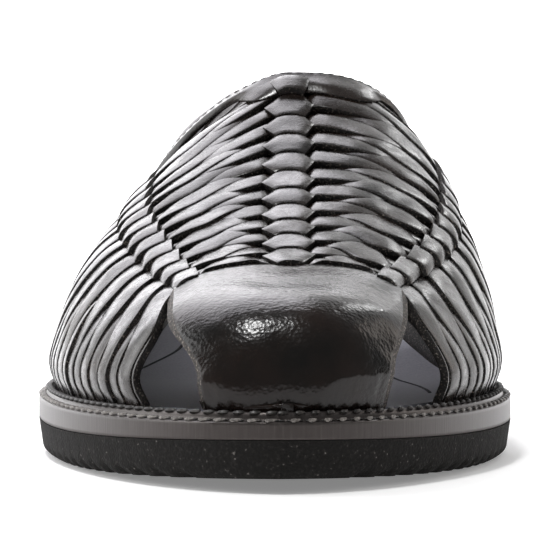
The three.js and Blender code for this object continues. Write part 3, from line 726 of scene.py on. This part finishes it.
def strap_place(t, r):
    """Place on the toe strap: `t` across from -1 to 1, `r` from 0 at the welt to 1 at the first strip."""
    side = np.where(t < 0, -1.0, 1.0)
    row = np.where(t < 0, 0, 1)
    foot_half, top_half = np.array(STRAP_FOOT)[row], np.array(STRAP_TOP)[row]
    rise = np.clip(r, 0, 1) ** 2

    def reached(across):
        point = last_point(*strip_place(FIRST_EDGE, across, side), side)
        return np.abs(point[..., 0] / MM - MIDDLE_X) >= np.abs(t * top_half)

    top = strip_place(FIRST_EDGE, turning(np.zeros_like(t), np.ones_like(t), reached), side)[0] - 0.4

    def at(x):
        """Distance back and signed turn on the last of the strap's point that lies at `x`."""
        def outside(back):
            over = x - tip_shift(back)
            return half_width(back, np.where(over < 0, -1.0, 1.0), LEDGE) >= np.abs(over)

        foot = turning(np.full_like(t, LEDGE), np.full_like(t, SPRING_END), outside)
        back = foot + (top - foot) * rise

        def passed(turn):
            point = last_point(back, np.abs(turn), np.where(turn < 0, -1.0, 1.0))
            return point[..., 0] / MM - MIDDLE_X >= x

        return back, turning(-np.ones_like(t), np.ones_like(t), passed)

    back, turn = at(t * foot_half)
    z = last_point(back, np.abs(turn), np.where(turn < 0, -1.0, 1.0))[..., 2] / MM
    back, turn = at(t * (foot_half + (top_half - foot_half) * smooth(z, *STRAP_FLARE)))
    return back, np.abs(turn), np.where(turn < 0, -1.0, 1.0)


STRAP_FOOT_RUN, STRAP_RAW = 0.06, 2
STRAP_LEVEL, STRAP_SWELL, SWELL_END = 0.1, 0.3, 0.22
STRAP_THIN, THIN_FROM = 0.5, 0.94
CREASE_DEPTH = 0.16


def on_strap(t, r, level):
    """Point of the strap; below 0 it runs straight down behind the welt's bead."""
    back, around, side = strap_place(t, r)
    drop = (FEATHER - SEAT) * np.clip(-r / STRAP_FOOT_RUN, 0, 1)
    return on_last(back, around, side, level, drop)


def toe_strap():
    """Smooth strap over the toes, pulled tight, with small creases where it turns into the welt."""
    def place(u, v):
        r = -STRAP_FOOT_RUN + (1 + STRAP_FOOT_RUN) * (v + 1) / 2
        low = smooth(0.42 - r, 0, 0.3) * smooth(r, 0.08, 0.18)
        crease = CREASE_DEPTH * np.sin(9 * u + 26 * r + 2 * np.sin(5 * u)) * np.sin(11 * r - 4 * u)
        swell = STRAP_SWELL * smooth(SWELL_END - r, 0, SWELL_END)
        level = STRAP_LEVEL + low * crease + swell - STRAP_THIN * smooth(np.abs(u), THIN_FROM, 1)
        return on_strap(u, r, level)

    columns = 72
    strap = laid("smooth_toe_strap", columns, 72, place)
    for i, face in enumerate(strap.data.polygons):
        face.material_index = 1 if min(i % columns, columns - 1 - i % columns) < STRAP_RAW else 0
    thicken(strap, STRAP_THICK, 0.3, STRAP_LEATHER, STRAP_EDGE, RAW_EDGE)
    return dress(strap, "upper_leather", replaces=["toe_strap"])


COLLAR_SINK, SINK_PLACE = 1.2, (158, 172)


def collar_level(back):
    """The band lies closer to the last behind the throat."""
    return -COLLAR_SINK * smooth(back, *SINK_PLACE)


COLLAR_ROWS_ACROSS = table(
    "at drop level",
    (-1, 5, -3.7), (-0.6, 0.8, -3.8), (-0.45, -0.4, -3.2), (-0.3, -1, -1.8), (-0.15, -0.8, -0.1),
    (0, -0.1, 0.85), (0.4, 4.2, 1.25), (0.7, 8.2, 1.5), (1, 12.5, 0.7))
COLLAR_NARROW, NARROW_END = 0.65, 0.09


def on_collar(along, drop, level):
    """Point of the collar: `along` runs from the throat round the outer side, 0 to 1, and back."""
    side = np.where(along <= 1, -1.0, 1.0)
    t = np.where(along <= 1, along, 2 - along)
    drop = drop * (COLLAR_NARROW + (1 - COLLAR_NARROW) * smooth(t, 0, NARROW_END))
    throat = turning(np.full_like(t, 80), np.full_like(t, THROAT + 6),
                     lambda back: last_ridge(back) >= edge_height(back, side, drop))
    back = throat + (LENGTH - LEDGE - throat) * eased(t)
    around = turning(np.zeros_like(t), np.ones_like(t),
                     lambda turn: below_edge(back, turn, side, drop))
    around = np.where(t <= 0, 0, around)
    return on_last(back, around, side, level + collar_level(back))


def collar():
    """Smooth band folded over the edge of the opening."""
    drop = column(COLLAR_ROWS_ACROSS, "at", "drop")
    level = column(COLLAR_ROWS_ACROSS, "at", "level")
    band = laid("collar_band", 200, 22, lambda u, v: on_collar(u + 1, drop(v), level(v)))
    joined("collar_band", [band])
    thicken(band, 0.9, 0.3, LEATHER, RAW_EDGE, LEATHER)
    return dress(band, "upper_leather", replaces=["collar"])


def on_counter(u, v, level):
    """Point of the counter: `u` from the outer front edge round the heel, `v` from the collar down."""
    side = np.where(u < 0, -1.0, 1.0)
    s = COUNTER_FROM + (HEEL_END - COUNTER_FROM) * np.sin((1 - np.abs(u)) * np.pi / 2)
    top = collar_cut(s, side, COLLAR_WIDTH - 1)
    across = top + (1 + FOOT_RUN - top) * (v + 1) / 2
    return on_strip(s, across, side, level)


COUNTER_LEVEL, COUNTER_THICK = 0.6, 1.6


def counter():
    """Smooth overlay round the heel."""
    piece = laid("heel_counter", 120, 30, lambda u, v: on_counter(u, v, np.full_like(u, COUNTER_LEVEL)))
    thicken(piece, COUNTER_THICK, 0.4, LEATHER, RAW_EDGE, RAW_EDGE)
    return dress(piece, "upper_leather", replaces=["counter"])


def outline(along, inset, height):
    """Point of the sole's outline: `along` goes round the outer side to the heel, 0 to 1, and back."""
    side = np.where(along <= 1, -1.0, 1.0)
    t = np.where(along <= 1, along, 2 - along)
    back = inset + (LENGTH - 2 * inset) * eased(t)
    x = tip_shift(back) + side * half_width(back, side, inset)
    return in_frame(x, back, height(back))


WELT_ROWS = table(
    "at inset lift",
    (0, 0.5, 0), (1, 0, 0.4), (2, 0, 2.6), (3, 0, 4.9), (4, 0.3, 5.35), (5, 0.8, 5.5), (6, 1.4, 5.65),
    (7, 1.75, 6), (8, 2.1, 6.8), (9, 2.8, 7.5), (10, 3.5, 7.2), (11, 3.95, 6.4), (12, 4, 4), (13, 4, 0.2),
    (14, 0.5, 0))


def welt():
    """Midsole and welt as one sanded edge, a stitched ledge and a round bead beside the upper."""
    inset, lift = column(WELT_ROWS, "at", "inset"), column(WELT_ROWS, "at", "lift")
    last_row = WELT_ROWS["at"][-1]

    def place(u, v):
        at = (v + 1) / 2 * last_row
        share = np.clip(lift(at) / (WELT_TOP - SOLE_TOP), 0, 1)

        def height(back):
            blend = floor_line(back) + (top_line(back) - floor_line(back)) * share
            return blend + SOLE_TOP - GAP + lift(at)

        return outline(u + 1, inset(at), height)

    ring = joined("welt_and_midsole", [laid("welt", 360, 42, place)])
    modify(ring, "WEIGHTED_NORMAL")
    return dress(ring, "welt_leather", EDGE_LEATHER, replaces=["welt", "midsole"])


EDGE_ROUND, ROUND_SHARE = 2.2, 4


def sole_section(back, around, top, under, draw):
    """Closed section of a sole block: `around` goes over the top, down the inner side and back."""
    corners = table("at side high", (0, -1, 1), (1, 1, 1), (2, 1, 0), (3, -1, 0), (4, -1, 1))
    side = np.interp(around, corners["at"], corners["side"])
    high = np.interp(around, corners["at"], corners["high"])
    lateral = half_width(back, np.full_like(back, -1.0), 0)
    medial = half_width(back, np.ones_like(back), 0)
    round_in = draw * (1 - high) + EDGE_ROUND * np.clip(1 - high * ROUND_SHARE, 0, 1) ** 2
    drawn = np.minimum(round_in, np.minimum(lateral, medial))
    x = tip_shift(back) + np.where(side < 0, side * (lateral - drawn), side * (medial - drawn))
    return in_frame(x, back, under + (top - under) * high)


VALLEY_AT, VALLEY_HALF, RIPPLE_END = 0.725, 0.275, RISE_END - 4


def ripple(back):
    """Depth of the tread's cross grooves: flat crests with rounded valleys between."""
    phase = (back - RIPPLE_START) / RIPPLE_PITCH % 1
    valley = np.clip(1 - np.abs(phase - VALLEY_AT) / VALLEY_HALF, 0, 1)
    return RIPPLE_DEPTH * np.sqrt(1 - (1 - valley) ** 2) * (back > RIPPLE_START) * (back < RIPPLE_END)


def sole():
    """Outsole with cross ripples, and the heel lift under it."""
    def outsole_place(u, v):
        back = LENGTH * eased((u + 1) / 2)
        under = floor_line(back) + ripple(back)
        return sole_section(back, (v + 1) * 2, floor_line(back) + OUTSOLE, under, SIDE_TAPER)

    outsole = joined("rippled_outsole", [laid("outsole_new", 420, 64, outsole_place)])
    dress(outsole, "sole_rubber", RUBBER, replaces=["outsole"])

    breast = 0.96

    def heel_place(u, v):
        t = np.clip((u + breast) / (1 + breast), 0, 1)
        back = HEEL_BREAST + (LENGTH - HEEL_BREAST) * np.sin(t * np.pi / 2)
        section = sole_section(back, (v + 1) * 2, HEEL_RISE - 0.02 + 0 * back, 0 * back, 2 * SIDE_TAPER)
        shut = np.clip((-breast - u) / (1 - breast), 0, 1)[:, None]
        centre = in_frame(0 * back, back, HEEL_RISE / 2 + 0 * back)
        return section * (1 - shut) + centre * shut

    heel = joined("heel_lift", [laid("heel_new", 90, 48, heel_place)])
    dress(heel, "sole_rubber", RUBBER, replaces=["heel"])


SOCK_INSET, DISH = LEDGE + TUCK + WALL + 0.4, 0.8


def on_sock(back, share, lift):
    """Point on the insole: `share` runs from -1 on the outer edge to 1 on the inner edge."""
    side = np.where(share < 0, -1.0, 1.0)
    x = tip_shift(back) + share * half_width(back, side, SOCK_INSET)
    return in_frame(x, back, top_line(back) + SEAT + INSOLE + DISH * np.abs(share) ** 4 + lift)


def sock():
    """Grey insole with a slight dish."""
    def place(u, v):
        back = SOCK_INSET + (LENGTH - 2 * SOCK_INSET) * eased((v + 1) / 2)
        return on_sock(back, u, 0)

    piece = joined("grey_insole", [laid("sock", 40, 120, place)])
    modify(piece, "SOLIDIFY", thickness=INSOLE * MM, offset=-1)
    return dress(piece, "sock_lining", LINING, replaces=["insole"])


CAMERA_PLACE, CAMERA_TILT, CAMERA_LENS, SENSOR = (0.0002, -1.199, 0.106), 86.82, 317.5, 36
SHOE, INSTEP, TOE = (0, 0, 0.08), (0, 0, 0.06), (0, -0.1, 0.04)


def camera_and_light():
    """The photograph's view: straight on the toe and a little above, with soft lamps round the shoe."""
    data = bpy.data.cameras.new("view")
    camera = bpy.data.objects.new("view", data)
    bpy.context.scene.collection.objects.link(camera)
    camera.location = CAMERA_PLACE
    camera.rotation_euler = (math.radians(CAMERA_TILT), 0, 0)
    data.sensor_width = SENSOR
    data.lens = CAMERA_LENS
    bpy.context.scene.camera = camera

    def lamp(name, place, aim, size, power, colour="#ffffff"):
        light = bpy.data.lights.new(name, "AREA")
        light.color = linear(colour)[:3]
        light.shape = "RECTANGLE"
        light.size, light.size_y = size
        light.energy = power
        holder = bpy.data.objects.new(name, light)
        bpy.context.scene.collection.objects.link(holder)
        holder.location = place
        holder.rotation_euler = (Vector(aim) - Vector(place)).to_track_quat("-Z", "Y").to_euler()

    lamp("back_low", (-0.25, 0.85, 0.36), SHOE, (0.86, 0.32), 1.25, "#fbf8ff")
    lamp("back_high", (-0.28, 0.54, 0.75), SHOE, (0.76, 0.54), 3.9, "#fbf8ff")
    lamp("backdrop", (0, 0.7, 0.5), (0, 1, 0.1), (0.5, 0.15), 2.8)
    lamp("left", (-1.1, 0.2, 0.5), INSTEP, (0.9, 0.9), 7.2)
    lamp("right", (1.1, 0.55, 0.5), INSTEP, (0.15, 0.9), 1, "#fff0e4")
    lamp("right_streak", (0.48, 0.72, 0.76), TOE, (0.08, 0.3), 0.9)
    lamp("overhead", (-0.23, -0.23, 1.21), TOE, (0.18, 0.18), 7)

    world = bpy.data.worlds.new("studio")
    world.use_nodes = True
    world.node_tree.nodes["Background"].inputs["Color"].default_value = linear("#f4f4f4")
    world.node_tree.nodes["Background"].inputs["Strength"].default_value = 0.3
    bpy.context.scene.world = world
    bpy.context.scene.view_settings.view_transform = "Standard"


FLOOR_START, FLOOR_FLAT, FLOOR_BEND, BEND_RADIUS = -1.4, 2, 0.6, 0.38
FLOOR_HALF, FLOOR_RUN, WALL_STRETCH, FLOOR_BELOW = 3, 3.2, 2, 0.0002


def floor():
    """Plain pale floor, swept up behind; its back lets a view from behind through."""
    def place(u, v):
        along = (v + 1) * FLOOR_RUN / 2
        bend = np.clip(along - FLOOR_FLAT, 0, FLOOR_BEND) / FLOOR_BEND * np.pi / 2
        y = FLOOR_START + np.minimum(along, FLOOR_FLAT) + BEND_RADIUS * np.sin(bend)
        upright = np.maximum(along - FLOOR_FLAT - FLOOR_BEND, 0) * WALL_STRETCH
        z = BEND_RADIUS * (1 - np.cos(bend)) + upright
        return np.stack([u * FLOOR_HALF, y, z - FLOOR_BELOW], -1)

    sweep = laid("pale_floor", 2, 60, place)
    made, tree, shader, _ = material("pale_paper")
    set_inputs(shader, Base_Color=linear("#fbfbfb"), Roughness=0.9, Emission_Color=linear("#ffffff"),
               Emission_Strength=0.22)
    behind = add(tree, "ShaderNodeNewGeometry").outputs["Backfacing"]
    clear = add(tree, "ShaderNodeBsdfTransparent").outputs["BSDF"]
    sheet = add(tree, "ShaderNodeMixShader", {0: behind, 1: shader.outputs["BSDF"], 2: clear})
    tree.links.new(sheet.outputs["Shader"], tree.nodes["Material Output"].inputs["Surface"])
    sweep.data.materials.append(made)


def welt_row(inset, lift):
    """Path round the welt, as far in from its edge as `inset`."""
    return lambda t, up: outline(2 * t, inset, lambda back: top_line(back) + WELT_TOP + lift + up)


COLLAR_SEAM, COLLAR_SEAM_LEVEL = 1.2, 1.1


def collar_row(t, up):
    """Path round the collar, just below its edge."""
    return on_collar(2 * t, np.full_like(t, COLLAR_SEAM), COLLAR_SEAM_LEVEL + up)


def stitching():
    """Rows of thread: two round the welt with the needle's holes, and a fine one on the collar. The outer
    welt row is black thread coloured pale as a painted highlight. The holes are dark dashes widened to
    cover the ledge as painted shade.
    """
    sewn("welt_stitches", welt_row(0.85, 0.15), 4, (2.9, 1.2, 1), 26, "welt_leather", PAINTED_HIGHLIGHT_THREAD)
    # Dark dashes for the needle's holes, long and wide enough to cover the ledge between them: the ledge's
    # shade is painted with them.
    sewn("welt_holes_and_ledge_shade", welt_row(1.2, 0.1), 2, (1.5, 1.3, 0.5), 0, "welt_leather", BLACK_THREAD)
    sewn("bead_stitches", welt_row(2.5, 1.7), 3.8, (2.7, 1.5, 1.2), 24, "welt_leather", BLACK_THREAD)
    sewn("collar_stitches", collar_row, 2.6, (1.5, 0.4, 0.2), 0, "upper_leather", BLACK_THREAD)


INSOLE_LINE = table(
    "back lateral medial",
    (84, -0.92, 0.78), (110, -0.89, 0.7), (131, -0.83, 0.64), (145, -0.76, 0.62), (165, -0.66, 0.6),
    (225, -0.72, 0.72))


def insole_shade_line():
    """Dark line that runs along both sides of the insole: painted shade where the insole meets the inner
    wall, laid as a row of dead matt thread.
    """
    first, end = INSOLE_LINE["back"][[0, -1]]
    sits = 0.05
    for side in ("lateral", "medial"):
        share = column(INSOLE_LINE, "back", side)

        def path(t, up):
            back = first + (end - first) * t
            return on_sock(back, share(back), sits + up)

        sewn(f"insole_shade_line_{side}", path, 1.2, (1.6, 1, 0.3), 0, "sock_lining", INSOLE_SHADE_THREAD)


camera_and_light()
floor()
weave()
lining()
toe_strap()
collar()
counter()
welt()
sole()
sock()
stitching()
insole_shade_line()
